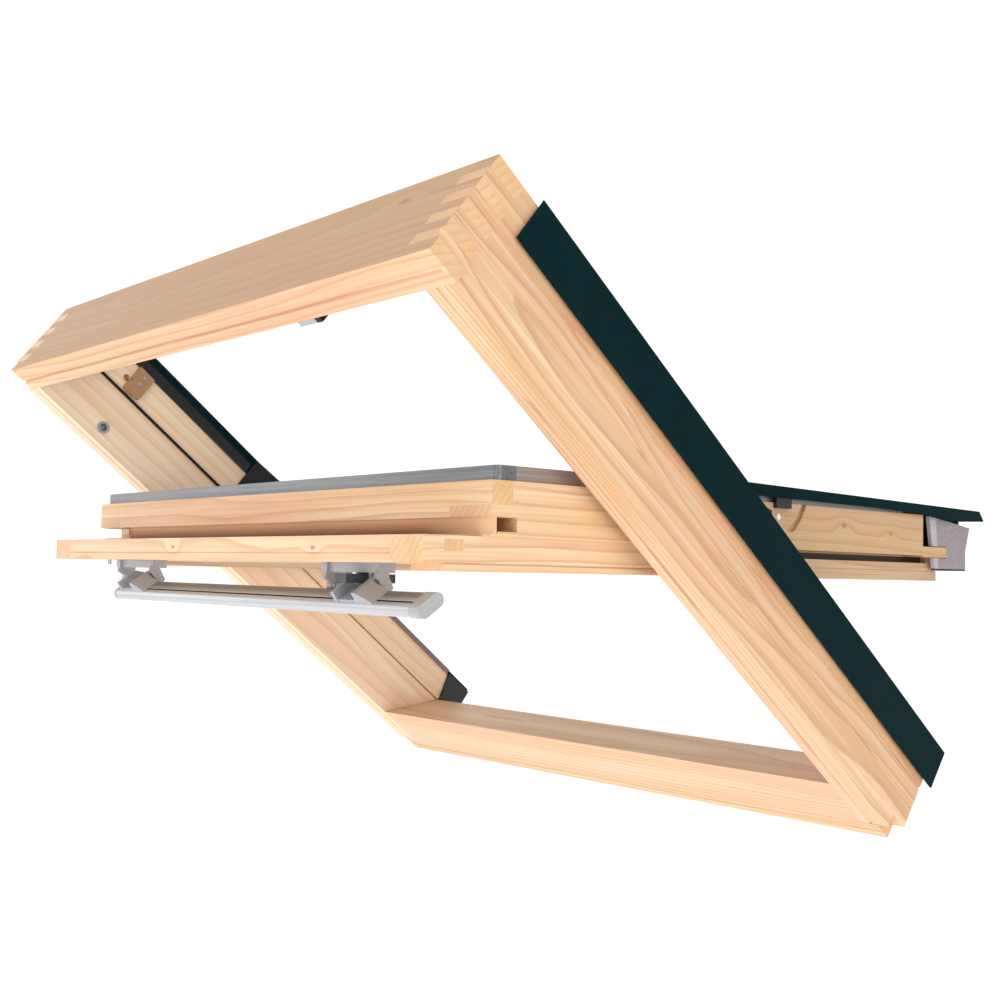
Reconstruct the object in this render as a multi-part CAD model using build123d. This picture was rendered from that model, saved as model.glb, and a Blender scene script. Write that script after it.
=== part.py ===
from build123d import *
import os
from math import sin, cos, radians

# Centre-pivot roof window: pine frame leaning at the pitch of the roof, pine sash
# turned about its middle until it is nearly level.  Millimetres, +Z up, +X along the
# pivot axis.  The origin is the middle of the sill's lower end face.

# ---------------------------------------------------------------- driving dimensions
PITCH = 40.0            # slope of the frame
SASH_TILT = -1.5        # slope of the sash as it stands
FRAME_W = 780.0         # over the jambs
FRAME_TOP = 363.5       # head end of the frame, measured up the slope from the middle
FRAME_BOT = 391.0       # sill end of the frame, measured down the slope
FRAME_D = 104.0         # depth of the frame, room face to roof face
MEMBER = 31.0           # thickness of jambs
HEAD_T = 31.5           # thickness of the head
SILL_T = 30.0           # thickness of the sill
SILL_TOP = 64.0         # depth of the sill from the room face
LINING_GROOVE = 18.0    # lining groove from the outer face
SEAL_N = 66.0           # level of the seal groove in the jambs
PIVOT_S = 50.4          # pivot axis below the middle of the frame
PIVOT_N = 131.0         # pivot axis above the room face
FINGER = 11.0           # comb joint finger

BLOCK_X = 349.0         # half width of the sash over its stiles
LIP_X = 338.0           # half width of the sash at its room face
STILE_IN = 298.0        # inner side of the stiles
U_BLOCK_NEAR = -306.0   # top rail outer face
U_BLOCK_FAR = 298.0     # end of the stiles
U_LIP_NEAR = -362.0     # edge of the top rail's lip
U_FAR = 341.0           # end of the stiles' room-side part
RAIL_IN = -250.0        # inner side of the top rail
BRAIL_IN = 246.0        # inner side of the bottom rail
V_TOP = 5.6             # outer face of the sash timber
V_BLOCK = -37.3         # underside of the block
V_GROOVE = -44.0        # lower side of the far groove
V_LIP = -58.4           # underside of the lip
V_ROOM = -64.0          # room face of the sash
GLASS_V0 = -12.0        # underside of the glass unit
GLASS_V1 = 16.0         # outer face of the glass unit
BAR_LEFT, BAR_RIGHT = -220.0, 297.0
BRACKETS = {"left": -170.0, "right": 235.0}   # right-hand side of each bracket
LEFT_FIRST, RIGHT_FIRST = 66.0, 66.0         # first screw of each bracket, left of that side
SCREW_U = -320.5                              # row of bracket screws
TONGUE = (204.9, 221.1)                       # sides of the latch tongue
BOLT_U, BOLT_V = -315.1, -47.5                # barrel bolt in the left stile

# ---------------------------------------------------------------- placing
def frame_loc():
    # frame coordinates: x along the pivot, t down the slope, n square to the slope
    return Rot(-PITCH, 0, 0) * Pos(0, -FRAME_BOT, -SILL_TOP / 2)

def sash_loc():
    # sash coordinates about the pivot: x, u towards the bottom rail, v outwards
    p = frame_loc() * Pos(0, PIVOT_S, PIVOT_N)
    return Pos(p.position.X, p.position.Y, p.position.Z) * Rot(SASH_TILT, 0, 0)

FL = frame_loc()
SL = sash_loc()

def box(a0, a1, b0, b1, c0, c1):
    return Pos((a0 + a1) / 2, (b0 + b1) / 2, (c0 + c1) / 2) * Box(a1 - a0, b1 - b0, c1 - c0)

def prism_x(points, x0, x1):
    # a profile of (b, c) points carried along x
    wire = Wire.make_polygon([(x0, b, c) for b, c in points], close=True)
    return extrude(Face(wire), amount=x1 - x0, dir=(1, 0, 0))

def prism_b(points, b0, b1):
    # a profile of (a, c) points carried along the second axis
    wire = Wire.make_polygon([(a, b0, c) for a, c in points], close=True)
    return extrude(Face(wire), amount=b1 - b0, dir=(0, 1, 0))

def prism_c(points, c0, c1):
    # a profile of (a, b) points carried along the third axis
    wire = Wire.make_polygon([(a, b, c0) for a, b in points], close=True)
    return extrude(Face(wire), amount=c1 - c0, dir=(0, 0, 1))

def rod_x(x0, x1, b, c, r):
    return Pos((x0 + x1) / 2, b, c) * Rot(0, 90, 0) * Cylinder(r, x1 - x0)

def rod_b(b0, b1, a, c, r):
    return Pos(a, (b0 + b1) / 2, c) * Rot(90, 0, 0) * Cylinder(r, b1 - b0)

def rod_c(c0, c1, a, b, r):
    return Pos(a, b, (c0 + c1) / 2) * Cylinder(r, c1 - c0)

def mirrored(shape):
    return mirror(shape, about=Plane.YZ)

os.makedirs("parts", exist_ok=True)

def put(name, shapes, place):
    if not isinstance(shapes, (list, tuple)):
        shapes = [shapes]
    solids = []
    for s in shapes:
        for q in s.solids():
            solids.append(place * q)
    out = solids[0] if len(solids) == 1 else Compound(children=solids)
    export_step(out, "parts/" + name + ".step")

# ---------------------------------------------------------------- frame timber
HW = FRAME_W / 2
IN_X = HW - MEMBER
T_HEAD, T_SILL = -FRAME_TOP, FRAME_BOT

# comb joint at the head: the jamb fingers reach the end of the frame, the head's
# fingers fill the gaps between them
FINGERS = [(13.0, 24.0), (35.0, 46.0), (57.0, 68.0), (79.0, 90.0)]

def jamb():
    # right-hand jamb: timber section with a lining groove in the room face, a seal
    # groove inside and two shallow quirks outside
    body = box(IN_X, HW, T_HEAD, T_SILL, 0, FRAME_D)
    xg = HW - LINING_GROOVE
    body -= prism_b([(xg - 3.2, -1), (xg - 1.2, 2.6), (xg + 0.6, 2.6), (xg + 1.4, -1)], T_HEAD - 1, T_SILL + 1)
    body -= box(IN_X - 1, IN_X + 5, T_HEAD + HEAD_T, T_SILL + 1, SEAL_N - 1.5, SEAL_N + 1.5)
    body -= prism_b([(HW - 1.4, 57.2), (HW + 1, 56.2), (HW + 1, 60.6), (HW - 1.4, 59.6)], T_HEAD - 1, T_SILL + 1)
    body -= prism_b([(HW - 0.9, 37.6), (HW + 1, 37.0), (HW + 1, 40.0), (HW - 0.9, 39.4)], T_HEAD - 1, T_SILL + 1)
    # head end: only the fingers run past the inside of the head
    low = 0.0
    for n0, n1 in FINGERS:
        body -= box(IN_X - 1, HW + 1, T_HEAD - 1, T_HEAD + HEAD_T, low - (1 if low == 0 else 0), n0)
        low = n1
    body -= box(IN_X - 1, HW + 1, T_HEAD - 1, T_HEAD + HEAD_T, low, FRAME_D + 1)
    # lower end: the room-side band stops short of the end
    body -= box(IN_X - 1, HW + 1, T_SILL - 24, T_SILL + 1, -1, 14.5)
    return body

def sill_tenons(side):
    # two tenons of the sill let into the jamb
    x0, x1 = (IN_X - 2, HW - 12) if side > 0 else (-HW + 12, -IN_X + 2)
    return [box(x0, x1, T_SILL - SILL_T + 6, T_SILL - 6, n0, n0 + 12) for n0 in (22.0, 44.0)]

right_jamb = jamb()
left_jamb = mirrored(jamb())
for t in sill_tenons(1):
    right_jamb -= t
for t in sill_tenons(-1):
    left_jamb -= t

head = box(-HW, HW, T_HEAD, T_HEAD + HEAD_T, 0, FRAME_D)
head -= prism_x([(T_HEAD + 17.2, -1), (T_HEAD + 18.0, 2.6), (T_HEAD + 19.8, 2.6), (T_HEAD + 21.8, -1)], -HW - 1, HW + 1)
for n0, n1 in FINGERS:
    head -= box(IN_X, HW + 1, T_HEAD - 1, T_HEAD + HEAD_T + 1, n0, n1)
    head -= box(-HW - 1, -IN_X, T_HEAD - 1, T_HEAD + HEAD_T + 1, n0, n1)
# the room-side finger stands a little proud of the right jamb and stops short at the left one,
# where the other fingers of the head are also cut a little short
head += box(HW - 1, HW + 4.0, T_HEAD, T_HEAD + HEAD_T, 0, 13.0)
head -= box(-HW - 1, -381.0, T_HEAD - 1, T_HEAD + HEAD_T + 1, -1, 13.0)
for n0, n1 in ((24.0, 35.0), (46.0, 57.0), (68.0, 79.0)):
    head -= box(-HW - 1, -387.0, T_HEAD - 1, T_HEAD + HEAD_T + 1, n0, n1)
# stop for the sash along the roof side of the head, with a groove for its seal
head += box(-IN_X, IN_X, T_HEAD + HEAD_T - 1.0, T_HEAD + HEAD_T + 14.0, 67.0, FRAME_D)
head -= box(-IN_X - 1, IN_X + 1, T_HEAD + HEAD_T + 10.0, T_HEAD + HEAD_T + 15.0, 80.0, 85.0)

sill = prism_x([(T_SILL - 90.0, 0.0), (T_SILL, 0.0), (T_SILL, SILL_TOP), (T_SILL - SILL_T, SILL_TOP)], -IN_X, IN_X)
sill += box(-378.0, 378.0, T_SILL - 23.0, T_SILL, 0.0, 14.5)
sill -= box(-379.0, 379.0, T_SILL - 11.6, T_SILL - 10.4, -1.0, 1.2)
for side in (1, -1):
    for t in sill_tenons(side):
        sill += t
sill -= box(-330.0, 330.0, T_SILL - 18.0, T_SILL - 13.0, SILL_TOP - 4.0, SILL_TOP + 1)

put("head_rail", head, FL)
put("sill_rail", sill, FL)

# ---------------------------------------------------------------- seals of the frame
def jamb_seal():
    return box(IN_X - 2.0, IN_X + 5.0, T_HEAD + HEAD_T + 15, 40.0, SEAL_N - 1.5, SEAL_N + 1.5)
put("right_jamb_seal", jamb_seal(), FL)
put("left_jamb_seal", mirrored(jamb_seal()), FL)
put("sill_seal", box(-328.0, 328.0, T_SILL - 18.0, T_SILL - 13.0, SILL_TOP - 4.0, SILL_TOP + 2.4), FL)
put("head_seal", box(-IN_X, IN_X, T_HEAD + HEAD_T + 10.0, T_HEAD + HEAD_T + 17.0, 80.0, 85.0), FL)

# ---------------------------------------------------------------- covers on the jambs
COV_T0, COV_MID, COV_T1 = -315.0, 58.0, 403.0
def jamb_cover():
    # high section above the pivot, low section below it, one outer flange
    outer = [(HW + 2.4, 67.6), (HW + 4.0, 67.6), (HW + 4.0, 109.0), (HW - 25.0, 129.0), (HW - 28.6, 129.0),
             (HW - 28.6, 107.0), (HW - 15.0, 107.0), (HW - 15.0, 108.6), (HW - 27.0, 108.6), (HW - 27.0, 127.4),
             (HW - 25.5, 127.4), (HW + 2.4, 108.1)]
    low = [(HW + 2.4, 67.6), (HW + 4.0, 67.6), (HW + 4.0, 109.0), (HW - 26.0, 111.4), (HW - 28.6, 111.4),
           (HW - 28.6, 107.0), (HW - 15.0, 107.0), (HW - 15.0, 108.2), (HW - 27.0, 108.2), (HW - 27.0, 109.9),
           (HW + 2.4, 107.8)]
    c = prism_b(outer, COV_T0, COV_MID) + prism_b(low, COV_MID, COV_T1)
    # head end cut back at a slant above the flange
    c -= prism_c([(HW + 2.2, COV_T0), (HW + 2.2, COV_T0 - 2), (HW - 32.0, COV_T0 - 2), (HW - 32.0, COV_T0 + 30.0),
                  (HW - 29.0, COV_T0 + 28.0)], 104.0, 131.0)
    return c
put("right_jamb_cover", jamb_cover(), FL)
put("left_jamb_cover", mirrored(jamb_cover()), FL)

# fixing strips under the covers, on the roof face and outer side of each jamb
def cover_clip(t):
    return prism_b([(HW - 18.0, FRAME_D), (HW, FRAME_D), (HW, 84.0), (HW + 2.4, 84.0), (HW + 2.4, FRAME_D + 3.0),
                    (HW - 18.0, FRAME_D + 3.0)], t, t + 30.0)
CLIPS = [-260.0, -90.0, 90.0, 260.0]
put("cover_clips", [cover_clip(t) for t in CLIPS] + [mirrored(cover_clip(t)) for t in CLIPS], FL)

# ribbed gasket along the inside of each cover, cut back where it passes the hinge
def cover_gasket():
    t0, t1 = COV_T0 + 32.0, T_SILL - 36.0
    g = box(IN_X - 1.6, HW - 28.6, t0, t1, FRAME_D, 117.0)
    g -= box(IN_X - 3.0, HW - 28.0, COV_MID, t1 + 1, 110.8, 118.0)
    for k in range(4):
        z = 106.6 + 2.6 * k
        g -= box(IN_X - 2.2, IN_X - 0.9, t0 - 1, t1 + 1, z, z + 1.1)
    g -= box(IN_X - 3.0, IN_X + 0.3, -76.0, 125.0, FRAME_D - 1, 118.0)
    return g
put("right_cover_gasket", cover_gasket(), FL)
put("left_cover_gasket", mirrored(cover_gasket()), FL)

# black end piece closing each cover at the sill
def end_piece():
    e = prism_x([(T_SILL - 34.0, 106.0), (T_SILL - 24.0, SILL_TOP + 0.6), (T_SILL + 6.0, SILL_TOP + 0.6),
                 (T_SILL + 11.0, 78.0), (T_SILL + 11.0, 106.8), (T_SILL - 33.0, 106.8)], IN_X - 3.8, IN_X)
    e += box(IN_X - 3.8, HW + 2.2, T_SILL, T_SILL + 11.0, 78.0, 106.8)
    return e
put("right_end_piece", end_piece(), FL)
put("left_end_piece", mirrored(end_piece()), FL)

# ---------------------------------------------------------------- packers, bush, catch
def packer():
    p = prism_x([(-262.0, 104.0), (-262.0, 71.5), (-254.0, 70.0), (-238.5, 71.5), (-238.5, 103.5)], IN_X - 6.0, IN_X)
    for n in (86.5, 96.6):
        p -= rod_x(IN_X - 7, IN_X + 1, -250.0, n, 2.02)
    return p
def packer_screws():
    return [rod_x(IN_X - 6.0, IN_X + 14.0, -250.0, n, 2.0) for n in (86.5, 96.6)]

BUSH_T, BUSH_N = -247.5, 17.8

for n in (86.5, 96.6):
    right_jamb -= rod_x(IN_X - 1, IN_X + 14.0, -250.0, n, 2.02)
    left_jamb -= rod_x(-IN_X - 14.0, -IN_X + 1, -250.0, n, 2.02)
# hole for the barrel bolt with the sash shut, cut also out of the left packer
SHUT_T, SHUT_N = BOLT_U + PIVOT_S, BOLT_V + PIVOT_N
left_jamb -= rod_x(-IN_X - 12.0, -IN_X + 1, SHUT_T, SHUT_N, 4.6)
put("right_packer", packer(), FL)
put("left_packer", mirrored(packer()) - rod_x(-IN_X - 1, -IN_X + 8.0, SHUT_T, SHUT_N, 4.8), FL)
put("packer_screws", packer_screws() + [mirrored(q) for q in packer_screws()], FL)

# bush for the barrel bolt, in the left jamb
left_jamb -= rod_x(-IN_X - 12.0, -IN_X + 1, BUSH_T, BUSH_N, 5.52)
bush = rod_x(-IN_X - 10.0, -IN_X, BUSH_T, BUSH_N, 5.5) + rod_x(-IN_X, -IN_X + 1.0, BUSH_T, BUSH_N, 7.5)
bush -= rod_x(-IN_X - 9.0, -IN_X + 2, BUSH_T, BUSH_N, 4.5)
put("bolt_bushing", bush, FL)

# keeper for the latch on the inner face of the head, and the long plate under it
TH = T_HEAD + HEAD_T
keeper = box(179.5, 237.0, TH, TH + 3.0, 5.0, 66.0) + box(179.5, 212.5, TH, TH + 8.0, 5.0, 15.0)
keeper += box(197.0, 237.0, TH, TH + 19.5, 49.0, 66.0)
keeper -= box(TONGUE[0] - 1.7, TONGUE[1] + 1.7, TH + 1.5, TH + 21.0, 54.6, 64.4)
keeper -= box(226.0, 233.5, TH + 5.0, TH + 21.0, 52.0, 63.0)
for x in (188.0, 228.0):
    keeper -= rod_b(TH - 1, TH + 4, x, 32.0, 2.02)
    head -= rod_b(TH - 17, TH + 1, x, 32.0, 2.02)
put("latch_keeper", keeper, FL)
put("keeper_screws", [rod_b(TH - 17, TH + 3.0, x, 32.0, 2.0) + rod_b(TH + 3.0, TH + 4.6, x, 32.0, 3.6) for x in (188.0, 228.0)], FL)
put("head_rail", head, FL)

# ---------------------------------------------------------------- hinges, frame side
PT, PN = PIVOT_S, PIVOT_N
PLATE = [(-72.0, 86.0), (-72.0, 126.0), (-34.0, 128.0), (36.0, 137.0), (42.0, 140.0), (58.0, 140.0), (64.0, 134.0),
         (74.0, 122.0), (120.0, 102.0), (120.0, 86.0)]
FRAME_SCREWS = [(-58.0, 92.0), (-8.0, 92.0), (60.0, 92.0), (108.0, 92.0)]
def frame_plate():
    h = prism_x(PLATE, 355.0, 358.0) + box(357.0, 359.0, -72.0, 120.0, 86.0, 103.0)
    h -= rod_x(354, 359, PT, PN, 5.0)
    for t, n in FRAME_SCREWS:
        h -= rod_x(354, 360, t, n, 2.02)
    return h
def frame_hinge_screws():
    return [rod_x(355.0, 378.0, t, n, 2.0) for t, n in FRAME_SCREWS]
def hinge_pin():
    return rod_x(343.0, 358.0, PT, PN, 5.0)
def washer():
    return rod_x(350.6, 355.0, PT, PN, 8.5) - rod_x(350, 356, PT, PN, 5.0)
for t, n in FRAME_SCREWS:
    right_jamb -= rod_x(358, 378.0, t, n, 2.02)
    left_jamb -= rod_x(-378.0, -358, t, n, 2.02)
for side, f in (("right", lambda q: q), ("left", mirrored)):
    put(side + "_frame_hinge_plate", f(frame_plate()), FL)
put("hinge_pins", [hinge_pin(), mirrored(hinge_pin())], FL)
put("friction_washers", [washer(), mirrored(washer())], FL)
put("frame_hinge_screws", frame_hinge_screws() + [mirrored(q) for q in frame_hinge_screws()], FL)
put("right_jamb", right_jamb, FL)
put("left_jamb", left_jamb, FL)

# ---------------------------------------------------------------- sash timber
def prism_side(points, x0, x1):
    return prism_x(points, x0, x1)

SASH_PLATE = [(-110.0, -22.0), (-110.0, -2.0), (-16.0, 4.6), (14.0, 4.6), (34.0, -2.0), (34.0, -22.0)]
SASH_SCREWS = [(-98.0, -12.0), (-58.0, -12.0), (26.0, -12.0)]

def stile():
    w = box(STILE_IN, BLOCK_X, U_BLOCK_NEAR, 297.0, V_BLOCK, V_TOP)
    w += box(STILE_IN, LIP_X, U_LIP_NEAR, 0.0, V_LIP, V_BLOCK)
    w += box(STILE_IN, 326.0, 0.0, U_FAR, V_ROOM, V_BLOCK)
    w += box(STILE_IN, LIP_X, 0.0, U_FAR, V_ROOM, V_GROOVE - 1.3)
    w += box(STILE_IN, LIP_X, -342.5, U_FAR, V_ROOM, V_LIP)
    # rounded tail of the block at the far end
    w += box(STILE_IN, BLOCK_X, 296.0, 344.5, -38.9, -27.9)
    w += box(STILE_IN, 326.0, 297.0, 303.0, -45.3, -38.0)
    # glass rebate
    w -= box(STILE_IN - 1, STILE_IN + 19.0, RAIL_IN - 19.0, BRAIL_IN + 19.0, GLASS_V0, V_TOP + 1)
    # slot across the near end and the shadow line under the lip
    w -= box(STILE_IN - 1, BLOCK_X + 1, -301.0, -280.5, -33.5, -22.5)
    w -= box(STILE_IN - 1, BLOCK_X + 1, U_BLOCK_NEAR - 1, -300.0, -35.0, -22.0)
    w -= box(LIP_X - 1.2, LIP_X + 1, -343.5, 1.0, V_LIP - 0.6, V_LIP + 0.6)
    # shallow line along the near lip and along the lower part of the far half
    w -= box(LIP_X - 0.8, LIP_X + 1, 40.0, U_FAR + 1, -54.1, -53.3)
    # curved groove worn in by the hinge stop
    ring = rod_x(BLOCK_X - 4.0, BLOCK_X + 1, 30.4, 29.8, 63.5) - rod_x(BLOCK_X - 5.0, BLOCK_X + 2, 30.4, 29.8, 56.5)
    ring &= prism_x([(60.0, -20.5), (95.0, -20.5), (95.0, 8.4), (60.0, 8.4)], BLOCK_X - 6.0, BLOCK_X + 2)
    w -= ring
    # let-in for the hinge plate, its pin and screws
    w -= prism_x(SASH_PLATE, 346.5, BLOCK_X + 1)
    w -= rod_x(340.0, BLOCK_X + 1, 0, 0, 7.0)
    for u, v in SASH_SCREWS:
        w -= rod_x(326.0, 347.0, u, v, 2.02)
    w -= rod_x(340.0, BLOCK_X + 1, 45.5, -7.5, 3.02)
    # tenon of the top rail at the block, tenon of the rail's lip, two tenons of the bottom rail
    for q in rail_tenons():
        w -= q
    return w

def rail_tenons():
    return [box(STILE_IN - 1, BLOCK_X, U_BLOCK_NEAR, -285.0, -13.0, V_TOP),
            box(STILE_IN - 1, LIP_X, -342.0, -323.5, -49.0, -40.0),
            box(STILE_IN - 1, 330.0, 268.0, 288.0, -10.0, 0.0),
            box(STILE_IN - 1, 322.0, 262.0, 300.0, -56.0, -47.0)]
T = rail_tenons()

top_rail = prism_x([(RAIL_IN, V_LIP), (RAIL_IN, GLASS_V0), (RAIL_IN - 19.0, GLASS_V0), (RAIL_IN - 19.0, V_TOP),
                    (U_BLOCK_NEAR, V_TOP), (U_BLOCK_NEAR, V_BLOCK), (U_LIP_NEAR, V_BLOCK), (U_LIP_NEAR, V_LIP)],
                   -STILE_IN, STILE_IN)
top_rail -= box(-STILE_IN - 1, STILE_IN + 1, -301.0, -280.5, -33.5, -22.5)
top_rail -= box(-STILE_IN - 1, STILE_IN + 1, U_BLOCK_NEAR - 1, -300.0, -35.0, -22.0)
top_rail -= box(-STILE_IN - 1, STILE_IN + 1, U_LIP_NEAR - 1, U_LIP_NEAR + 0.9, -51.6, -50.6)
for q in (T[0], T[1]):
    top_rail += q
    top_rail += mirrored(q)

bottom_rail = prism_x([(BRAIL_IN, V_ROOM), (U_FAR, V_ROOM), (U_FAR, V_GROOVE - 1.3), (303.0, V_GROOVE - 1.3), (303.0, -38.9),
                       (344.5, -38.9), (344.5, -27.9), (297.0, -27.9), (297.0, V_TOP), (BRAIL_IN + 19.0, V_TOP),
                       (BRAIL_IN + 19.0, GLASS_V0), (BRAIL_IN, GLASS_V0)], -STILE_IN, STILE_IN)
bottom_rail += box(-320.0, 320.0, 303.0, 344.5, -38.9, -27.9)
for q in (T[2], T[3]):
    bottom_rail += q
    bottom_rail += mirrored(q)

right_stile = stile() - box(STILE_IN - 1, 320.0, 303.0, 344.6, -38.9, -27.9)
left_stile = mirrored(stile()) - box(-320.0, -STILE_IN + 1, 303.0, 344.6, -38.9, -27.9)

# strip closing the slot across the near face of the sash, with a peg at its left end
put("vent_strip", box(-275.0, BLOCK_X, -304.0, -301.0, -35.0, -22.0), SL)
put("strip_peg", box(-290.0, -275.5, -305.4, -301.0, -30.0, -23.5) + box(-288.0, -277.5, -301.0, -284.0, -29.0, -24.5), SL)

# ---------------------------------------------------------------- glass unit
GX, GU0, GU1 = STILE_IN + 17.0, RAIL_IN - 17.0, BRAIL_IN + 17.0
put("inner_pane", box(-GX, GX, GU0, GU1, -12.0, -8.0), SL)
put("outer_pane", box(-GX, GX, GU0, GU1, 8.0, 12.0), SL)
put("glass_spacer", box(-GX + 4, GX - 4, GU0 + 4, GU1 - 4, -8.0, 8.0) - box(-GX + 12, GX - 12, GU0 + 12, GU1 - 12, -9, 9), SL)
put("glazing_seal", box(-GX, GX, GU0, GU1, 12.0, 13.0) - box(-GX + 13, GX - 13, GU0 + 13, GU1 - 13, 11, 14), SL)

# ---------------------------------------------------------------- grey glazing profiles
EX = 346.5
def side_profile():
    g = prism_x([(-280.0, V_TOP), (262.0, V_TOP), (262.0, 14.4), (20.0, 17.5), (-280.0, 17.5)], EX - 1.6, EX)
    g += prism_x([(-280.0, 15.9), (20.0, 15.9), (262.0, 12.8 + 0.3), (262.0, 14.4), (20.0, 17.5), (-280.0, 17.5)], STILE_IN + 4.0, EX)
    return g
put("right_glazing_profile", side_profile(), SL)
put("left_glazing_profile", mirrored(side_profile()), SL)
near = box(-EX, EX, -298.9, -280.0, V_TOP, 17.5)
near = fillet(near.edges().filter_by(Axis.Z).group_by(Axis.Y)[0], 5.0)
near -= box(-EX + 1.6, EX - 1.6, -297.3, -279.0, V_TOP - 1, 15.9)
near += box(-EX, EX, -280.0, RAIL_IN - 10.0, 15.9, 17.5) - box(STILE_IN + 4.0, EX + 1, -280.5, -200.0, 14, 19) - box(-EX - 1, -STILE_IN - 4.0, -280.5, -200.0, 14, 19)
put("top_glazing_profile", near, SL)

# ---------------------------------------------------------------- dark covers of the sash
def cov_top(u):
    return 21.6 - 0.0191 * (u - 10.9)
CU0, CU1 = -20.0, 405.8
def sash_cover():
    side = prism_x([(CU0, cov_top(CU0)), (CU1, cov_top(CU1)), (414.9, 3.5), (412.0, 2.9), (388.0, 2.0), (352.0, 0.7), (287.0, 5.7), (207.0, 8.3), (39.5, 10.2),
                    (CU0, 10.6)], 353.0, 354.2)
    top = prism_x([(CU0, cov_top(CU0) - 1.2), (CU0, cov_top(CU0)), (CU1, cov_top(CU1)), (CU1, cov_top(CU1) - 1.2)], STILE_IN + 2.0, 354.2)
    return side + top
put("right_sash_cover", sash_cover(), SL)
put("left_sash_cover", mirrored(sash_cover()), SL)
B0 = 262.0
bottom = prism_x([(B0, cov_top(B0) - 1.2), (404.6, cov_top(404.6) - 1.2), (413.4, 3.8), (412.2, 3.4), (403.4, cov_top(403.4) - 2.4),
                  (B0, cov_top(B0) - 2.4)], -352.9, 352.9)
bottom += box(-300.0, 300.0, 297.0, 298.2, -27.9, cov_top(298.0) - 2.0)
bottom += box(-342.5, 342.5, 380.0, 381.2, -26.0, cov_top(380.6) - 2.0)
put("bottom_sash_cover", bottom, SL)
def hinge_block():
    return box(BLOCK_X, 352.9, 38.0, 61.0, 0.7, 10.0)
put("hinge_blocks", [hinge_block(), mirrored(hinge_block())], SL)

def corner_cap():
    c = prism_x([(312.0, 5.0), (352.6, 0.7), (396.0, -5.0), (387.0, -31.0), (387.0, -50.6), (386.0, -52.6), (323.2, -52.6)], 343.0, 347.4)
    c += prism_x([(388.0, -4.4), (396.0, -5.0), (387.0, -31.0), (387.0, -52.6), (383.0, -52.6), (383.0, -31.0)], 300.0, 343.0)
    c -= box(342.0, 350.0, 297.0, 346.0, -39.6, -27.2)
    return c
put("right_corner_cap", corner_cap(), SL)
put("left_corner_cap", mirrored(corner_cap()), SL)

# ---------------------------------------------------------------- hinges, sash side
def sash_plate():
    h = prism_x(SASH_PLATE, 346.5, 350.5)
    h -= rod_x(345, 352, 0, 0, 5.05)
    for u, v in SASH_SCREWS:
        h -= rod_x(345, 352, u, v, 2.02)
    return h
def sash_hinge_screws():
    return [rod_x(326.0, 350.4, u, v, 2.0) for u, v in SASH_SCREWS]
def plug():
    return rod_x(340.0, BLOCK_X + 0.6, 45.5, -7.5, 3.0)
for side, f in (("right", lambda q: q), ("left", mirrored)):
    put(side + "_sash_hinge_plate", f(sash_plate()), SL)
put("sash_hinge_screws", sash_hinge_screws() + [mirrored(q) for q in sash_hinge_screws()], SL)
put("hinge_plugs", [plug(), mirrored(plug())], SL)

# ---------------------------------------------------------------- barrel bolt in the left stile
BU, BV = BOLT_U, BOLT_V
left_stile -= rod_x(-LIP_X - 1, -286.0, BU, BV, 4.05)
left_stile -= box(-333.8, -296.0, BU - 2.3, BU + 2.3, V_ROOM - 1, BV)
top_rail -= rod_x(-STILE_IN - 1, -286.0, BU, BV, 4.05)
top_rail -= box(-STILE_IN - 1, -296.0, BU - 2.3, BU + 2.3, V_ROOM - 1, BV)
left_stile -= box(-LIP_X - 1, -STILE_IN + 1, -344.0, RAIL_IN, V_ROOM - 1, V_LIP)   # near end level with the lip
bolt = rod_x(-LIP_X + 0.5, -291.0, BU, BV, 4.0) + rod_c(V_ROOM + 0.6, BV, -301.5, BU, 2.0)
put("barrel_bolt", bolt, SL)

for x, first in ((BRACKETS["right"], RIGHT_FIRST), (BRACKETS["left"], LEFT_FIRST)):
    for sx in (x - first, x - 19.0):
        top_rail -= rod_c(V_LIP - 1, V_ROOM + 18.0, sx, SCREW_U, 2.02)
put("top_rail", top_rail, SL)
put("bottom_rail", bottom_rail, SL)
put("right_stile", right_stile, SL)
put("left_stile", left_stile, SL)

# ---------------------------------------------------------------- control bar and latch
TILT = radians(34.0)
E1 = (cos(TILT), sin(TILT))
E2 = (-sin(TILT), cos(TILT))
A0 = (-334.9, -83.1)
def at(e1, e2):
    return (A0[0] + e1 * E1[0] + e2 * E2[0], A0[1] + e1 * E1[1] + e2 * E2[1])
BAR_C = at(-1.0, -8.0)
AX = at(17.0, -6.0)
def slot_x(x0, x1, length, height):
    pl = Plane(origin=(x0, BAR_C[0], BAR_C[1]), x_dir=(0, E1[0], E1[1]), z_dir=(1, 0, 0))
    return extrude(pl * SlotOverall(length, height), amount=x1 - x0)
bar = slot_x(BAR_LEFT, BAR_RIGHT, 26.0, 11.0)
groove = [at(-1.0 - 5.2, -1.6), at(-1.0 - 3.6, -1.6), at(-1.0 - 3.6, -3.6), at(-1.0 - 5.2, -3.6)]
bar -= prism_x(groove, BAR_LEFT - 1, BAR_RIGHT + 1)
put("control_bar", bar, SL)
put("right_bar_cap", slot_x(BAR_RIGHT, BAR_RIGHT + 13.0, 27.0, 12.0), SL)
put("left_bar_cap", slot_x(BAR_LEFT - 4.0, BAR_LEFT, 26.4, 11.4), SL)

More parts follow.
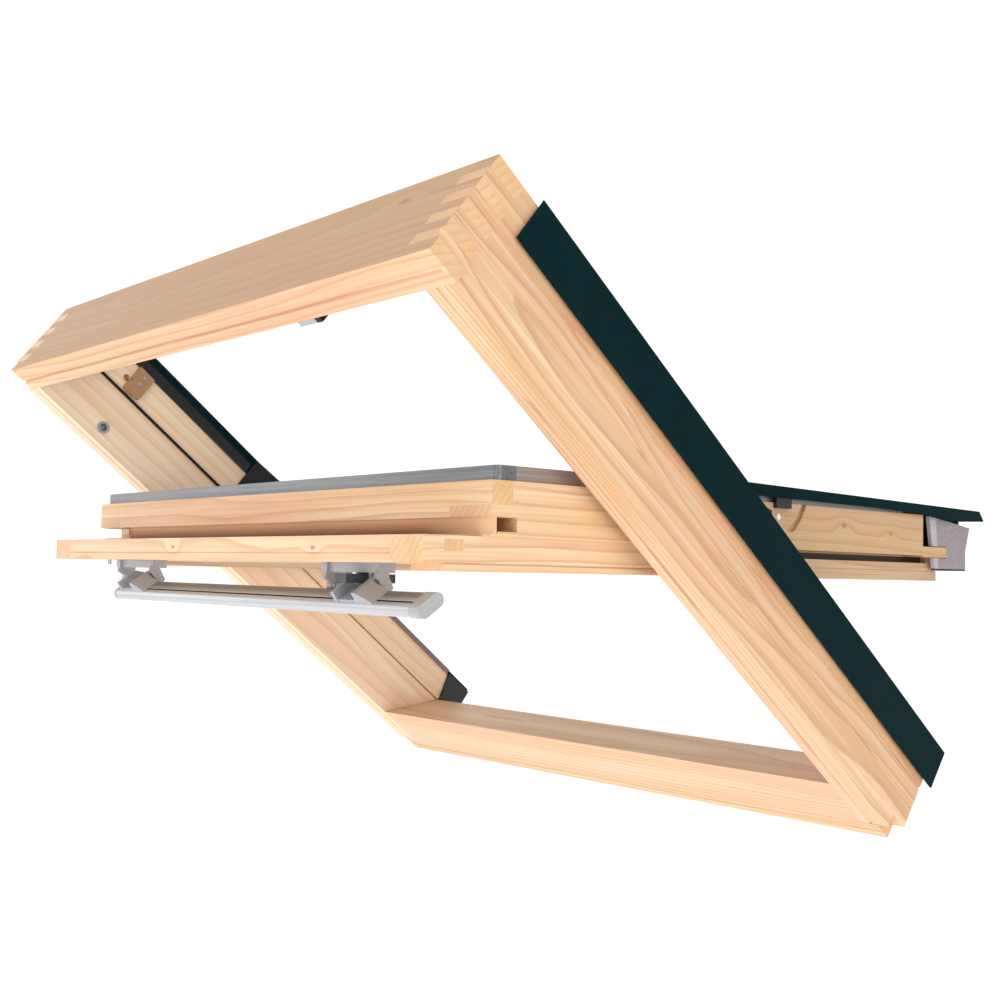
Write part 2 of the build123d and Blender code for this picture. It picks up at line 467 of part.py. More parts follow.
PLATE_V = -66.5
def bracket(x, first):
    # base under the lip of the top rail, ear and cheek at the left, slanting cheek at the right
    p = box(x - 71.0, x + 1.0, -327.0, -311.0, PLATE_V, V_LIP)
    p += box(x - 80.0, x - 71.0, -330.0, -316.0, PLATE_V, V_LIP)
    p += prism_x([(-329.0, -64.0), (-331.0, -71.0), (AX[0] - 4.2, AX[1] + 1.5), (AX[0] - 2.5, AX[1] - 3.6), (AX[0] + 2.5, AX[1] - 3.6),
                  (AX[0] + 4.4, AX[1] + 1.0), (-311.5, -64.0)], x - 76.0, x - 71.0)
    p += prism_x([(-326.5, -62.0), (-329.2, -69.4), (AX[0] - 2.75, AX[1] - 3.5), (AX[0] + 0.95, AX[1] - 4.4), (AX[0] + 3.9, AX[1] - 2.4),
                  (AX[0] + 5.8, AX[1] + 0.2), (-318.5, -66.0), (-318.5, -62.0)], x - 4.0, x)
    p -= rod_x(x - 77, x + 1.0, AX[0], AX[1], 3.02)
    for sx in (x - first, x - 19.0):
        p -= rod_c(-68, V_LIP + 1, sx, SCREW_U, 2.02)
        p -= rod_c(-68, PLATE_V + 1.5, sx, SCREW_U, 3.62)
    return p
def bracket_screws(x, first):
    return [rod_c(PLATE_V + 0.2, V_ROOM + 18.0, sx, SCREW_U, 2.0) + rod_c(PLATE_V + 0.2, PLATE_V + 1.5, sx, SCREW_U, 3.6) for sx in (x - first, x - 19.0)]
def bracket_pin(x):
    return rod_x(x - 76.0, x, AX[0], AX[1], 3.0) + rod_x(x - 83.0, x - 76.0, AX[0], AX[1], 4.6)
ARM = [(-10.8, 7.6), (13.0, 7.4), (20.6, 0.0), (21.6, -6.0), (19.6, -9.9), (15.4, -10.4), (12.9, -8.2), (6.1, -12.2), (-10.6, -5.2)]
def lever(x):
    # clamp on the bar: two arms joined by a web, turning on the pin
    b = prism_x([at(*q) for q in ARM], x - 8.5, x - 4.3)
    b += prism_x([at(*q) for q in ARM], x - 38.0, x - 33.8)
    b += prism_x([at(-10.0, -4.0), at(-10.0, 0.0), at(7.0, 0.0), at(7.0, -4.0)], x - 34.0, x - 8.4)
    # right-hand side of the clamp slopes down to the bar
    side = [(x - 8.5, 7.2), (x - 3.0, 7.2), (x + 14.0, -2.0), (x + 14.0, -4.0), (x - 8.5, -4.0)]
    wire = Wire.make_polygon([(a, *at(-10.6, h)) for a, h in side], close=True)
    b += extrude(Face(wire), amount=19.0, dir=(0, E1[0], E1[1]))
    b -= rod_x(x - 40, x + 1, AX[0], AX[1], 3.05)
    b -= slot_x(x - 80.0, x + 20.0, 26.0, 11.0)
    return b

x_r, x_l = BRACKETS["right"], BRACKETS["left"]
rb = bracket(x_r, RIGHT_FIRST)
rb += box(TONGUE[0] - 2.8, TONGUE[0] - 0.4, -327.0, -308.0, -76.0, PLATE_V + 0.1)
rb += box(TONGUE[1] + 0.4, TONGUE[1] + 2.8, -327.0, -308.0, -76.0, PLATE_V + 0.1)
rb -= rod_x(x_r - 60, x_r - 4.0, AX[0], AX[1], 3.02)
put("right_bar_bracket", rb, SL)
put("left_bar_bracket", bracket(x_l, LEFT_FIRST), SL)
put("right_bar_lever", lever(x_r), SL)
put("left_bar_lever", lever(x_l), SL)
put("bracket_pins", [bracket_pin(x_r), bracket_pin(x_l)], SL)
put("bracket_screws", bracket_screws(x_r, RIGHT_FIRST) + bracket_screws(x_l, LEFT_FIRST), SL)
put("latch_tongue", box(TONGUE[0], TONGUE[1], -349.0, -300.0, -75.0, -67.6), SL)
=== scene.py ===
import bpy
import math
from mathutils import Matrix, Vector

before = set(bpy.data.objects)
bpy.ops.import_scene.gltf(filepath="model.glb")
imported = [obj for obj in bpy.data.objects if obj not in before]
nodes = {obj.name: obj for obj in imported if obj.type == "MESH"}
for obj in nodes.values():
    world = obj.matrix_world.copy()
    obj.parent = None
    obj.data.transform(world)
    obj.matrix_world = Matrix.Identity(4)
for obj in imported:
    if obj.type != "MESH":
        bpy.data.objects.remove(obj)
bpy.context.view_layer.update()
scene = bpy.context.scene

# ------------------------------------------------------------------ directions
PITCH = math.radians(40.0)
TILT = math.radians(-1.5)
X = Vector((1, 0, 0))
T = Vector((0, math.cos(PITCH), -math.sin(PITCH)))      # down the slope of the frame
N = Vector((0, math.sin(PITCH), math.cos(PITCH)))       # out of the frame, to the sky
U = Vector((0, math.cos(TILT), math.sin(TILT)))         # along the sash
V = Vector((0, -math.sin(TILT), math.cos(TILT)))        # out of the sash
F0 = -(T * 0.391 + N * 0.032)                            # middle of the frame, room face
PIVOT = F0 + T * 0.0504 + N * 0.131


def fr(x, t, n):
    return F0 + X * (x / 1000) + T * (t / 1000) + N * (n / 1000)


def sa(x, u, v):
    return PIVOT + X * (x / 1000) + U * (u / 1000) + V * (v / 1000)


def srgb(r, g, b):
    def f(c):
        c /= 255.0
        return c / 12.92 if c <= 0.04045 else ((c + 0.055) / 1.055) ** 2.4
    return (f(r), f(g), f(b), 1.0)


# ------------------------------------------------------------------ node helpers
class Tree:
    def __init__(self, name):
        self.mat = bpy.data.materials.new(name)
        self.mat.use_nodes = True
        self.t = self.mat.node_tree
        self.t.nodes.clear()
        self.out = self.t.nodes.new("ShaderNodeOutputMaterial")
        self.bsdf = self.t.nodes.new("ShaderNodeBsdfPrincipled")
        self.t.links.new(self.bsdf.outputs[0], self.out.inputs[0])
        self.tc = self.t.nodes.new("ShaderNodeTexCoord")
        self.obj = self.tc.outputs["Object"]
        self.nrm = self.tc.outputs["Normal"]

    def _set(self, socket, v):
        if hasattr(v, "is_linked") or isinstance(v, bpy.types.NodeSocket):
            self.t.links.new(v, socket)
        elif isinstance(v, Vector):
            socket.default_value = tuple(v)
        else:
            socket.default_value = v

    def math(self, op, a, b=None, c=None, clamp=False):
        n = self.t.nodes.new("ShaderNodeMath")
        n.operation = op
        n.use_clamp = clamp
        self._set(n.inputs[0], a)
        if b is not None:
            self._set(n.inputs[1], b)
        if c is not None:
            self._set(n.inputs[2], c)
        return n.outputs[0]

    def vec(self, op, a, b=None):
        n = self.t.nodes.new("ShaderNodeVectorMath")
        n.operation = op
        self._set(n.inputs[0], a)
        if b is not None:
            self._set(n.inputs[1], b)
        return n.outputs["Value"] if op in ("DOT_PRODUCT", "LENGTH", "DISTANCE") else n.outputs[0]

    def combine(self, x, y, z):
        n = self.t.nodes.new("ShaderNodeCombineXYZ")
        for i, v in enumerate((x, y, z)):
            self._set(n.inputs[i], v)
        return n.outputs[0]

    def noise(self, vector, scale=1.0, detail=2.0, rough=0.5, distort=0.0):
        n = self.t.nodes.new("ShaderNodeTexNoise")
        self._set(n.inputs["Vector"], vector)
        n.inputs["Scale"].default_value = scale
        n.inputs["Detail"].default_value = detail
        n.inputs["Roughness"].default_value = rough
        n.inputs["Distortion"].default_value = distort
        return n.outputs[0]

    def ramp(self, fac, stops, interp="LINEAR"):
        n = self.t.nodes.new("ShaderNodeValToRGB")
        n.color_ramp.interpolation = interp
        e = n.color_ramp.elements
        while len(e) < len(stops):
            e.new(0.5)
        for i, (p, c) in enumerate(stops):
            e[i].position = p
            e[i].color = c if len(c) == 4 else (*c, 1)
        self._set(n.inputs[0], fac)
        return n.outputs[0]

    def value(self, fac, stops, interp="LINEAR"):
        return self.ramp(fac, [(p, (v, v, v, 1)) for p, v in stops], interp)

    def mix(self, fac, a, b, blend="MIX"):
        n = self.t.nodes.new("ShaderNodeMix")
        n.data_type = "RGBA"
        n.blend_type = blend
        n.clamp_factor = True
        self._set(n.inputs[0], fac)
        self._set(n.inputs[6], a)
        self._set(n.inputs[7], b)
        return n.outputs[2]

    def bump(self, height, strength, distance=0.001):
        n = self.t.nodes.new("ShaderNodeBump")
        n.inputs["Strength"].default_value = strength
        n.inputs["Distance"].default_value = distance
        self._set(n.inputs["Height"], height)
        self.t.links.new(n.outputs[0], self.bsdf.inputs["Normal"])

    def local(self, origin, dirs):
        p = self.vec("SUBTRACT", self.obj, origin)
        return [self.vec("DOT_PRODUCT", p, d) for d in dirs]

    def box_mask(self, coords, lims, soft=0.0004):
        """1 inside a box given in local coordinates (metres)."""
        m = None
        for c, (lo, hi) in zip(coords, lims):
            if lo is None:
                continue
            mid, half = (lo + hi) / 2, (hi - lo) / 2
            d = self.math("ABSOLUTE", self.math("SUBTRACT", c, mid))
            q = self.math("DIVIDE", self.math("SUBTRACT", half, d), soft, clamp=True)
            m = q if m is None else self.math("MULTIPLY", m, q)
        return m


def assign(mat, *names):
    for n in names:
        o = nodes[n]
        o.data.materials.clear()
        o.data.materials.append(mat)


# ------------------------------------------------------------------ pine
CREAM = srgb(240, 213, 178)
HONEY = srgb(226, 189, 146)
PINK = srgb(231, 184, 152)
LATE = srgb(198, 144, 98)


def pine(name, origin, L, A, B, heart=(0.09, 0.05), spacing=0.0046, plies=(), ply_coord="b", knots=(), seed=0.0, contrast=1.0,
         base=CREAM, mid=HONEY, pink=PINK, late=LATE, dark=1.0, tints=None, patches=(), rough=0.42):
    m = Tree(name)
    l, a, b = m.local(origin, (L, A, B))
    key = {"l": l, "a": a, "b": b}[ply_coord]
    idx = None
    for e in plies:
        s = m.math("GREATER_THAN", key, e)
        idx = s if idx is None else m.math("ADD", idx, s)
    if idx is None:
        idx = m.math("MULTIPLY", l, 0.0)
    off = m.math("MULTIPLY", idx, 7.31)
    # slow wander of the grain
    wander = m.noise(m.combine(m.math("MULTIPLY_ADD", l, 1.7, off), m.math("MULTIPLY_ADD", a, 9.0, seed), m.math("MULTIPLY", b, 9.0)), 1.0, 2.0)
    wiggle = m.noise(m.combine(m.math("MULTIPLY_ADD", l, 11.0, off), m.math("MULTIPLY_ADD", a, 60.0, seed), m.math("MULTIPLY", b, 60.0)), 1.0, 1.0)
    aa = m.math("ADD", m.math("SUBTRACT", a, heart[0]), m.math("MULTIPLY", idx, 0.017))
    bb = m.math("SUBTRACT", m.math("SUBTRACT", b, heart[1]), m.math("MULTIPLY", idx, 0.031))
    r = m.math("SQRT", m.math("ADD", m.math("MULTIPLY", aa, aa), m.math("MULTIPLY", bb, bb)))
    r = m.math("ADD", r, m.math("MULTIPLY", m.math("SUBTRACT", wander, 0.5), 0.030))
    r = m.math("ADD", r, m.math("MULTIPLY", m.math("SUBTRACT", wiggle, 0.5), 0.0016))
    knot_dark = None
    for centre, axis, radius in knots:
        q = m.vec("SUBTRACT", m.obj, centre)
        along = m.vec("DOT_PRODUCT", q, axis)
        ql = m.vec("DOT_PRODUCT", q, L)
        qs = m.vec("DOT_PRODUCT", q, axis.cross(L))
        d2 = m.math("ADD", m.math("MULTIPLY", m.math("MULTIPLY", ql, ql), 0.30), m.math("MULTIPLY", qs, qs))
        d = m.math("SQRT", d2)
        near = m.math("LESS_THAN", m.math("ABSOLUTE", along), 0.012)
        # the rings bulge round the knot
        bulge = m.math("MULTIPLY", m.math("EXPONENT", m.math("MULTIPLY", d2, -0.5 / (radius * 2.2) ** 2)), m.math("MULTIPLY", near, radius * 1.6))
        r = m.math("ADD", r, bulge)
        core = m.math("MULTIPLY", m.math("MULTIPLY", near, 0.9), m.math("SUBTRACT", 1.0, m.math("DIVIDE", d, radius), clamp=True))
        core = m.math("POWER", core, 0.5)
        knot_dark = core if knot_dark is None else m.math("MAXIMUM", knot_dark, core)
    phase = m.math("FRACT", m.math("DIVIDE", r, spacing))
    ring = m.value(phase, [(0.0, 0.05), (0.35, 0.12), (0.70, 0.45), (0.90, 1.0), (0.975, 0.75), (1.0, 0.05)])
    fibre = m.noise(m.combine(m.math("MULTIPLY_ADD", l, 7.0, off), m.math("MULTIPLY_ADD", a, 430.0, seed), m.math("MULTIPLY", b, 430.0)), 1.0, 2.0)
    broad = m.noise(m.combine(m.math("MULTIPLY_ADD", l, 1.1, off), m.math("MULTIPLY_ADD", a, 30.0, seed + 3.0), m.math("MULTIPLY", b, 30.0)), 1.0, 1.0)
    hue = m.noise(m.combine(m.math("MULTIPLY_ADD", l, 2.3, off), m.math("MULTIPLY_ADD", a, 16.0, seed + 9.0), m.math("MULTIPLY", b, 16.0)), 1.0, 1.0)
    col = m.mix(m.value(broad, [(0.35, 0.0), (0.65, 1.0)]), base, mid)
    col = m.mix(m.value(hue, [(0.45, 0.0), (0.70, 0.8)]), col, pink)
    if tints:
        t = m.ramp(m.math("DIVIDE", m.math("ADD", idx, 0.5), float(len(tints))), [((i + 0.001) / len(tints), c) for i, c in enumerate(tints)], "CONSTANT")
        col = m.mix(1.0, col, t, "MULTIPLY")
    col = m.mix(m.math("MULTIPLY", ring, 0.55 * contrast), col, late)
    col = m.mix(m.value(fibre, [(0.30, 0.30 * contrast), (0.55, 0.0)]), col, late)
    # end grain is darker and duller
    endness = m.math("GREATER_THAN", m.math("ABSOLUTE", m.vec("DOT_PRODUCT", m.nrm, L)), 0.93)
    col = m.mix(m.math("MULTIPLY", endness, 0.55), col, srgb(214, 170, 118))
    if knot_dark is not None:
        col = m.mix(m.math("MULTIPLY", knot_dark, 0.85), col, srgb(142, 88, 44))
    for lims, colour, amount in patches:
        lims = [q if q[0] is not None else (-9.0, 9.0) for q in lims]
        col = m.mix(m.math("MULTIPLY", m.box_mask((l, a, b), lims), amount), col, colour)
    if dark != 1.0:
        col = m.mix(1.0, col, (dark, dark, dark, 1), "MULTIPLY")
    m.t.links.new(col, m.bsdf.inputs["Base Color"])
    m.bsdf.inputs["Roughness"].default_value = rough
    m.bsdf.inputs["Specular IOR Level"].default_value = 0.35
    m.bump(m.math("ADD", m.math("MULTIPLY", ring, 0.5), fibre), 0.10, 0.0004)
    return m.mat


# frame timber: plies run with the depth of the frame
TAN = srgb(206, 168, 124)
# head patch: a brown layer over the head's outer face, painted shade on the face turned from the light
head = pine("pine_head", fr(0, -348, 52), X, T, N, heart=(-0.12, 0.06), spacing=0.0068, knots=((fr(296, -363, 81), T, 0.0040),), seed=1.0,
            contrast=1.0, patches=((((None, None), (-0.017, -0.0148), (-0.060, 0.060)), srgb(170, 128, 88), 0.66),))
# right jamb patch: a brown layer over the jamb's outer side face, painted shade on the side in less light
jamb_r = pine("pine_right_jamb", fr(375, 0, 52), T, X, N, heart=(-0.16, 0.02), spacing=0.0044, plies=(-0.014, 0.0065), seed=5.0, contrast=1.25,
              patches=((((None, None), (0.0140, 0.0160), (-0.030, 0.052)), srgb(186, 138, 96), 0.34),),
              tints=((1.0, 0.985, 0.96, 1), (1.0, 0.965, 0.94, 1), (0.985, 0.94, 0.88, 1)))
# left jamb: brighter base, mid, pink and late colours than the other pine, painted light that lifts its inner side
# out of its shade
jamb_l = pine("pine_left_jamb", fr(-375, 0, 52), T, X, N, heart=(0.17, 0.03), spacing=0.0062, plies=(-0.014, 0.0065), seed=11.0,
              base=srgb(252, 234, 208), mid=srgb(246, 220, 186), pink=srgb(250, 214, 188), late=srgb(222, 176, 134), contrast=0.8,
              tints=((1.0, 0.98, 0.95, 1), (1.0, 0.985, 0.96, 1), (0.97, 0.93, 0.87, 1)))
sill = pine("pine_sill", fr(0, 365, 20), X, T, N, heart=(0.10, -0.10), spacing=0.0055, seed=17.0)
assign(head, "head_rail")
assign(jamb_r, "right_jamb")
assign(jamb_l, "left_jamb")
assign(sill, "sill_rail")

# top rail patches: the brown band low on the near face is painted shade in the cove under the block; the near-black
# box at the left end is painted shade inside the slot behind the strip
rail = pine("pine_top_rail", sa(0, -300, -25), X, U, V, heart=(0.09, -0.06), spacing=0.0050, plies=(-0.012,), ply_coord="b", seed=23.0,
            tints=((1.0, 0.95, 0.90, 1), (1.0, 0.97, 0.92, 1)), knots=((sa(-55, -362, -46), U, 0.0022), (sa(191, -362, -47), U, 0.0022)),
            patches=((((None, None), (-0.0062, -0.0055), (-0.0125, 0.0)), srgb(196, 142, 92), 0.55),
                     (((-0.3480, -0.2760), (-0.0001, 0.0300), (-0.0090, 0.0040)), srgb(58, 36, 20), 0.85),))
# right stile patches: eight stacked brown layers darken the far half step by step as painted shade; the dark box at
# the near end is painted shade in the open slot; the groove under the far half is painted near black
stile_r = pine("pine_right_stile", sa(330, 0, -25), U, X, V, heart=(-0.12, 0.05), spacing=0.0062, plies=(-0.0125, -0.0334), seed=29.0,
               knots=((sa(349, 152, -11.5), X, 0.0030), (sa(349, 235, -16.5), X, 0.0024)), mid=srgb(232, 198, 152),
               patches=tuple((((-0.030 + 0.010 * i, 0.350), (-0.026 + 0.004 * i, 0.050), (None, None)), srgb(150, 112, 68), 0.066) for i in range(8)) + (
                        (((-0.3009, -0.2806), (-0.0400, 0.0186), (-0.0084, 0.0024)), srgb(74, 44, 24), 0.9),
                        (((0.0, 0.330), (-0.0320, -0.0030), (-0.0202, -0.0137)), srgb(20, 14, 8), 0.95),))
stile_l = pine("pine_left_stile", sa(-330, 0, -25), U, X, V, heart=(0.12, 0.05), spacing=0.0060, plies=(-0.0125, -0.0334), seed=31.0)
rail_b = pine("pine_bottom_rail", sa(0, 290, -25), X, U, V, heart=(0.09, -0.06), spacing=0.0050, seed=37.0)
assign(rail, "top_rail", "strip_peg")
assign(stile_r, "right_stile")
assign(stile_l, "left_stile")
assign(rail_b, "bottom_rail")


# ------------------------------------------------------------------ other finishes
def plain(name, colour, rough=0.5, metal=0.0, grain=None, grain_amount=0.08, grain_scale=400.0, coat=0.0, spec=0.5, bump=0.0):
    m = Tree(name)
    if grain is not None:
        L, A, B = grain
        l, a, b = m.local(Vector((0, 0, 0)), grain)
        n = m.noise(m.combine(m.math("MULTIPLY", l, grain_scale * 0.02), m.math("MULTIPLY", a, grain_scale), m.math("MULTIPLY", b, grain_scale)), 1.0, 2.0)
    else:
        n = m.noise(m.obj, grain_scale, 2.0)
    lo = tuple(c * (1 - grain_amount) for c in colour[:3]) + (1,)
    hi = tuple(min(1.0, c * (1 + grain_amount)) for c in colour[:3]) + (1,)
    m.t.links.new(m.ramp(n, [(0.3, lo), (0.7, hi)]), m.bsdf.inputs["Base Color"])
    m.bsdf.inputs["Roughness"].default_value = rough
    m.bsdf.inputs["Metallic"].default_value = metal
    m.bsdf.inputs["Specular IOR Level"].default_value = spec
    if coat:
        m.bsdf.inputs["Coat Weight"].default_value = coat
        m.bsdf.inputs["Coat Roughness"].default_value = 0.25
    if bump:
        m.bump(n, bump, 0.0005)
    return m.mat


dark_frame = plain("dark_cover_frame", srgb(4, 33, 36), 0.6, 0.0, grain=None, grain_amount=0.06, grain_scale=40.0, spec=0.04)
assign(dark_frame, "right_jamb_cover", "left_jamb_cover", "right_sash_cover", "left_sash_cover", "bottom_sash_cover")
rubber = plain("seal_black", srgb(22, 22, 20), 0.7, 0.0, spec=0.3)
assign(rubber, "right_jamb_seal", "left_jamb_seal", "sill_seal", "head_seal", "glazing_seal")
gk = Tree("cover_gasket")                    # glossy black beside the sash, grey below the pivot
gt = gk.local(fr(0, 0, 0), (T, N))
gk.t.links.new(gk.ramp(gk.math("ADD", gt[0], gk.math("MULTIPLY", gk.noise(gk.obj, 40.0), 0.004)),
                       [(0.0, srgb(14, 16, 17)), (0.11, srgb(14, 16, 17)), (0.12, srgb(132, 116, 120)), (1.0, srgb(132, 116, 120))]), gk.bsdf.inputs["Base Color"])
gk.bsdf.inputs["Roughness"].default_value = 0.22
gk.bsdf.inputs["Specular IOR Level"].default_value = 0.5
assign(gk.mat, "right_cover_gasket", "left_cover_gasket")
black = plain("black_plastic", srgb(20, 20, 22), 0.45)
assign(black, "right_end_piece", "left_end_piece", "hinge_blocks")
black_steel = plain("black_steel", srgb(16, 18, 20), 0.38, 0.3)
assign(black_steel, "right_frame_hinge_plate", "left_frame_hinge_plate", "right_sash_hinge_plate", "left_sash_hinge_plate")
brown = plain("brown_plastic", srgb(172, 130, 92), 0.5)
assign(brown, "right_packer", "left_packer")
# strip in the slot: timber coloured above, darkening to deep brown below as painted shade, which fades to plain
# timber near the right corner
st = Tree("slot_strip")
sx, sv = st.local(sa(0, -300, -35), (X, V))
sn = st.noise(st.combine(st.math("MULTIPLY", sx, 8.0), st.math("MULTIPLY", sv, 300.0), 0.0), 1.0, 2.0)
sq = st.math("ADD", st.math("MULTIPLY", sv, 62.0), st.math("MULTIPLY", st.math("SUBTRACT", sn, 0.5), 0.22))
sc = st.ramp(sq, [(0.0, srgb(108, 62, 30)), (0.20, srgb(150, 96, 56)), (0.50, srgb(190, 138, 92)), (0.88, srgb(226, 182, 136))])
st.t.links.new(st.mix(st.math("MULTIPLY", st.math("SUBTRACT", sx, 0.262), 14.0, clamp=True), sc, srgb(226, 184, 138)), st.bsdf.inputs["Base Color"])
st.bsdf.inputs["Roughness"].default_value = 0.6
assign(st.mat, "vent_strip")

# mauve plastic corner: light ribbed edge towards the pivot, black rim along the room side
mv = Tree("mauve_plastic")
mu, mw, mx = mv.local(sa(0, 0, 0), (U, V, X))
base = mv.ramp(mv.noise(mv.obj, 260.0, 2.0), [(0.3, srgb(140, 129, 136)), (0.7, srgb(152, 142, 148))])
ridge = mv.math("MULTIPLY", mv.math("SINE", mv.math("MULTIPLY", mw, 2600.0)), 0.5)
edge = mv.math("MULTIPLY", mv.math("SUBTRACT", mv.math("ADD", 0.327, mv.math("MULTIPLY", mw, -0.10)), mu), 400.0, clamp=True)
base = mv.mix(mv.math("MULTIPLY", edge, mv.math("ADD", 0.62, mv.math("MULTIPLY", ridge, 0.5))), base, srgb(196, 189, 194))
rim = mv.math("MULTIPLY", mv.math("SUBTRACT", -0.0506, mw), 2500.0, clamp=True)
base = mv.mix(rim, base, srgb(16, 14, 16))
mv.t.links.new(base, mv.bsdf.inputs["Base Color"])
mv.bsdf.inputs["Roughness"].default_value = 0.5
mv.bump(ridge, 0.25, 0.0006)
assign(mv.mat, "right_corner_cap", "left_corner_cap")
white = plain("white_plastic", srgb(232, 232, 228), 0.5)
assign(white, "hinge_plugs")
zinc = plain("zinc_steel", srgb(176, 178, 180), 0.35, 0.9, grain_scale=300.0)
assign(zinc, "packer_screws", "keeper_screws", "frame_hinge_screws", "sash_hinge_screws", "bracket_screws", "hinge_pins", "friction_washers",
       "bolt_bushing", "barrel_bolt", "cover_clips")
kp = Tree("keeper_steel")
kx, kt = kp.local(fr(0, 0, 0), (X, T))
kp.t.links.new(kp.mix(kp.math("MULTIPLY", kp.math("SUBTRACT", kx, 0.2042), 4000.0, clamp=True), srgb(186, 188, 190), srgb(18, 18, 20)), kp.bsdf.inputs["Base Color"])
kp.bsdf.inputs["Roughness"].default_value = 0.4
kp.bsdf.inputs["Metallic"].default_value = 0.5
assign(kp.mat, "latch_keeper")
# latch tongue: steel darkened as painted shade, so it reads as the dark hollow between the bracket arms
tongue_shade_steel = plain("tongue_steel_painted_shade", srgb(70, 76, 78), 0.4, 0.6, grain_scale=300.0)
assign(tongue_shade_steel, "latch_tongue")
grey_x = plain("grey_strip_across", srgb(120, 122, 124), 0.40, 0.75, grain=(X, U, V), grain_amount=0.20)
grey_u = plain("grey_strip_along", srgb(158, 154, 152), 0.40, 0.75, grain=(U, X, V), grain_amount=0.16)
assign(grey_x, "top_glazing_profile")
assign(grey_u, "right_glazing_profile", "left_glazing_profile")
spacer = plain("spacer_metal", srgb(170, 172, 174), 0.35, 0.9)
assign(spacer, "glass_spacer")
# silver bar: drawn lines along it; painted shade darkens the top face, and a dark line in the groove is painted shade
sb = Tree("silver_bar")
C34, S34 = math.cos(math.radians(34)), math.sin(math.radians(34))
E1 = U * C34 + V * S34
E2 = V * C34 - U * S34
bx, b1, b2 = sb.local(sa(0, -334.9, -83.1), (X, E1, E2))
bn = sb.noise(sb.combine(sb.math("MULTIPLY", bx, 5.0), sb.math("MULTIPLY", b1, 900.0), sb.math("MULTIPLY", b2, 900.0)), 1.0, 2.0)
bc = sb.ramp(bn, [(0.3, srgb(176, 179, 182)), (0.7, srgb(198, 201, 204))])
bar_top_painted_shade = sb.math("MULTIPLY", sb.math("ADD", b1, 0.004), 160.0, clamp=True)
bc = sb.mix(bar_top_painted_shade, bc, srgb(122, 124, 126))
bc = sb.mix(sb.box_mask((b1, b2), ((-0.0066, -0.0044), (-0.0040, -0.0001)), 0.0002), bc, srgb(34, 38, 36))
sb.t.links.new(bc, sb.bsdf.inputs["Base Color"])
sb.bsdf.inputs["Metallic"].default_value = 0.35
sb.bsdf.inputs["Roughness"].default_value = 0.38
assign(sb.mat, "control_bar")
cast = plain("silver_casting", srgb(172, 173, 178), 0.5, 0.35, grain_amount=0.10, grain_scale=700.0, bump=0.15)
assign(cast, "right_bar_bracket", "left_bar_bracket", "bracket_pins", "right_bar_lever", "left_bar_lever")
cap = plain("silver_plastic", srgb(168, 170, 172), 0.45, 0.0)
assign(cap, "right_bar_cap", "left_bar_cap")

g = Tree("clear_glass")
g.bsdf.inputs["Base Color"].default_value = (0.93, 0.97, 0.96, 1)
g.bsdf.inputs["Roughness"].default_value = 0.02
g.bsdf.inputs["Transmission Weight"].default_value = 1.0
g.bsdf.inputs["IOR"].default_value = 1.45
assign(g.mat, "inner_pane", "outer_pane")

# ------------------------------------------------------------------ softened edges
TIMBER = ["head_rail", "right_jamb", "left_jamb", "sill_rail", "top_rail", "right_stile", "left_stile", "bottom_rail"]
METAL = ["control_bar", "right_bar_bracket", "left_bar_bracket", "right_bar_lever", "left_bar_lever", "right_bar_cap", "left_bar_cap",
         "right_corner_cap", "left_corner_cap", "right_jamb_cover", "left_jamb_cover", "right_sash_cover", "left_sash_cover",
         "latch_keeper", "left_packer", "right_packer", "bolt_bushing", "bracket_pins"]
for names, width in ((TIMBER, 0.0007), (METAL, 0.0004)):
    for n in names:
        o = nodes[n]
        w = o.modifiers.new("weld", "WELD")
        w.merge_threshold = 0.00001
        b = o.modifiers.new("bevel", "BEVEL")
        b.width = width
        b.segments = 2
        b.limit_method = "ANGLE"
        b.angle_limit = math.radians(35)
        b.harden_normals = False
        o.modifiers.new("normals", "WEIGHTED_NORMAL").keep_sharp = True

# ------------------------------------------------------------------ studio
def stage_mesh(name, verts, faces, mat, smooth=False):
    me = bpy.data.meshes.new(name)
    me.from_pydata(verts, [], faces)
    o = bpy.data.objects.new(name, me)
    scene.collection.objects.link(o)
    me.materials.append(mat)
    if smooth:
        for p in me.polygons:
            p.use_smooth = True
    return o


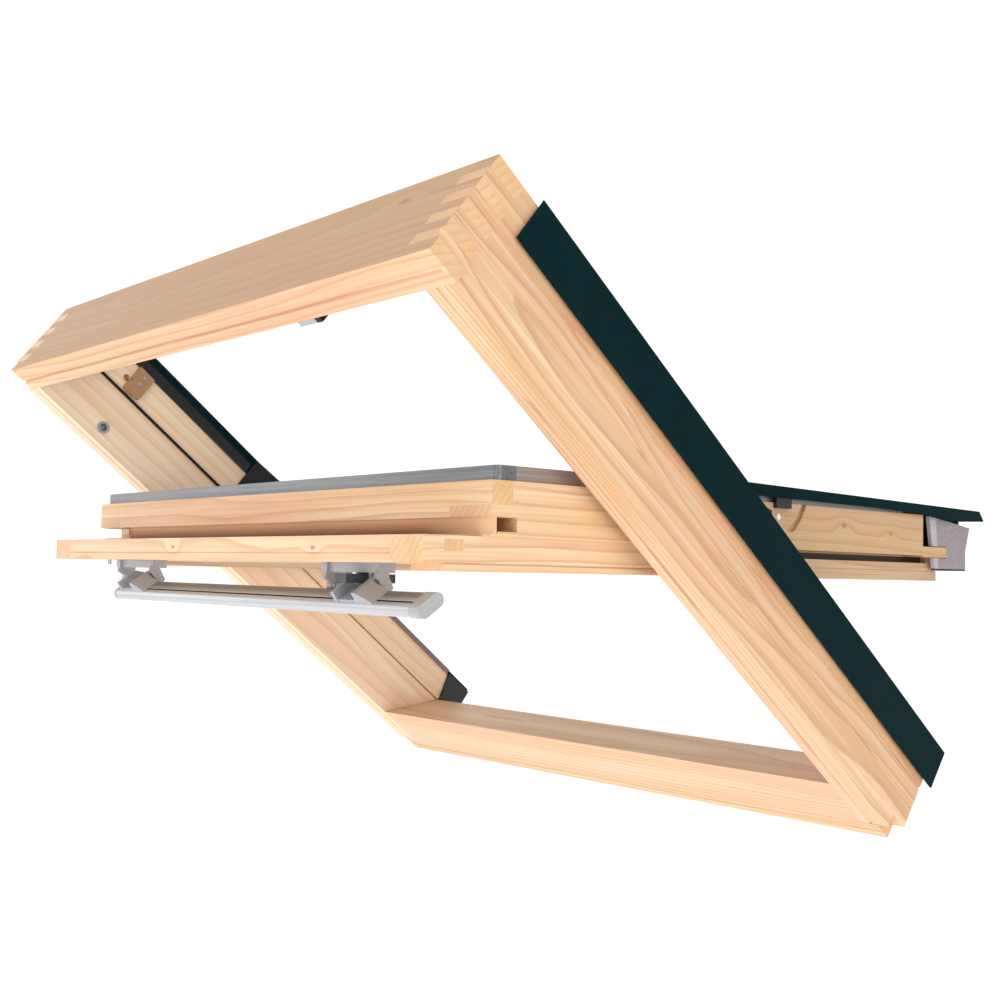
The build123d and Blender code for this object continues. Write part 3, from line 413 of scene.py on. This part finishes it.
paper = Tree("studio_paper")
paper.bsdf.inputs["Base Color"].default_value = (0.97, 0.97, 0.97, 1)
paper.bsdf.inputs["Emission Color"].default_value = (1, 1, 1, 1)
paper.bsdf.inputs["Emission Strength"].default_value = 0.28
paper.bsdf.inputs["Roughness"].default_value = 0.9
paper.bsdf.inputs["Specular IOR Level"].default_value = 0.0
FLOOR_Z = -0.75
back = Vector((-math.sin(math.radians(48.97)), math.cos(math.radians(48.97)), 0))
side = Vector((math.cos(math.radians(48.97)), math.sin(math.radians(48.97)), 0))
prof = [(-9.0, FLOOR_Z), (5.0, FLOOR_Z)]
for k in range(1, 13):
    a = math.radians(90 * k / 12)
    prof.append((5.0 + 3.0 * math.sin(a), FLOOR_Z + 3.0 * (1 - math.cos(a))))
prof.append((8.0, 9.0))
verts, faces = [], []
for d, z in prof:
    for s in (-14.0, 14.0):
        p = back * d + side * s
        verts.append((p.x, p.y, z))
for i in range(len(prof) - 1):
    faces.append((2 * i, 2 * i + 1, 2 * i + 3, 2 * i + 2))
stage_mesh("sweep", verts, faces, paper.mat, True)


def area(name, loc, target, size, power, colour=(1, 1, 1), size_y=None):
    d = bpy.data.lights.new(name, "AREA")
    d.energy = power
    d.shape = "RECTANGLE"
    d.size = size
    d.size_y = size_y or size
    d.color = colour
    o = bpy.data.objects.new(name, d)
    o.location = loc
    o.rotation_euler = (Vector(target) - Vector(loc)).to_track_quat("-Z", "Y").to_euler()
    scene.collection.objects.link(o)
    return o


centre = Vector((0.0, -0.2, 0.28))
area("key_low_front", centre + Vector((0.9, -2.4, -0.9)), centre, 1.8, 32)
area("front_right", centre + Vector((2.6, -0.6, 0.5)), centre, 1.6, 15)
area("top_soft", centre + Vector((0.3, 0.3, 3.2)), centre, 2.6, 30)
area("left_fill", centre + Vector((-2.4, -1.6, 0.6)), centre, 1.8, 14)

w = bpy.data.worlds.new("studio_world")
scene.world = w
w.use_nodes = True
w.node_tree.nodes["Background"].inputs[0].default_value = (1, 1, 1, 1)
w.node_tree.nodes["Background"].inputs[1].default_value = 0.70

# ------------------------------------------------------------------ camera
cam = bpy.data.cameras.new("camera")
cam.lens = 45.81
cam.sensor_width = 36.0
cam.sensor_fit = "HORIZONTAL"
cam.clip_start = 0.01
cam.clip_end = 100.0
co = bpy.data.objects.new("camera", cam)
co.location = (1.07295, -1.12564, 0.25474)
co.rotation_euler = (math.radians(92.28), 0, math.radians(48.97))
scene.collection.objects.link(co)
scene.camera = co
scene.view_settings.view_transform = "Standard"
scene.view_settings.look = "None"
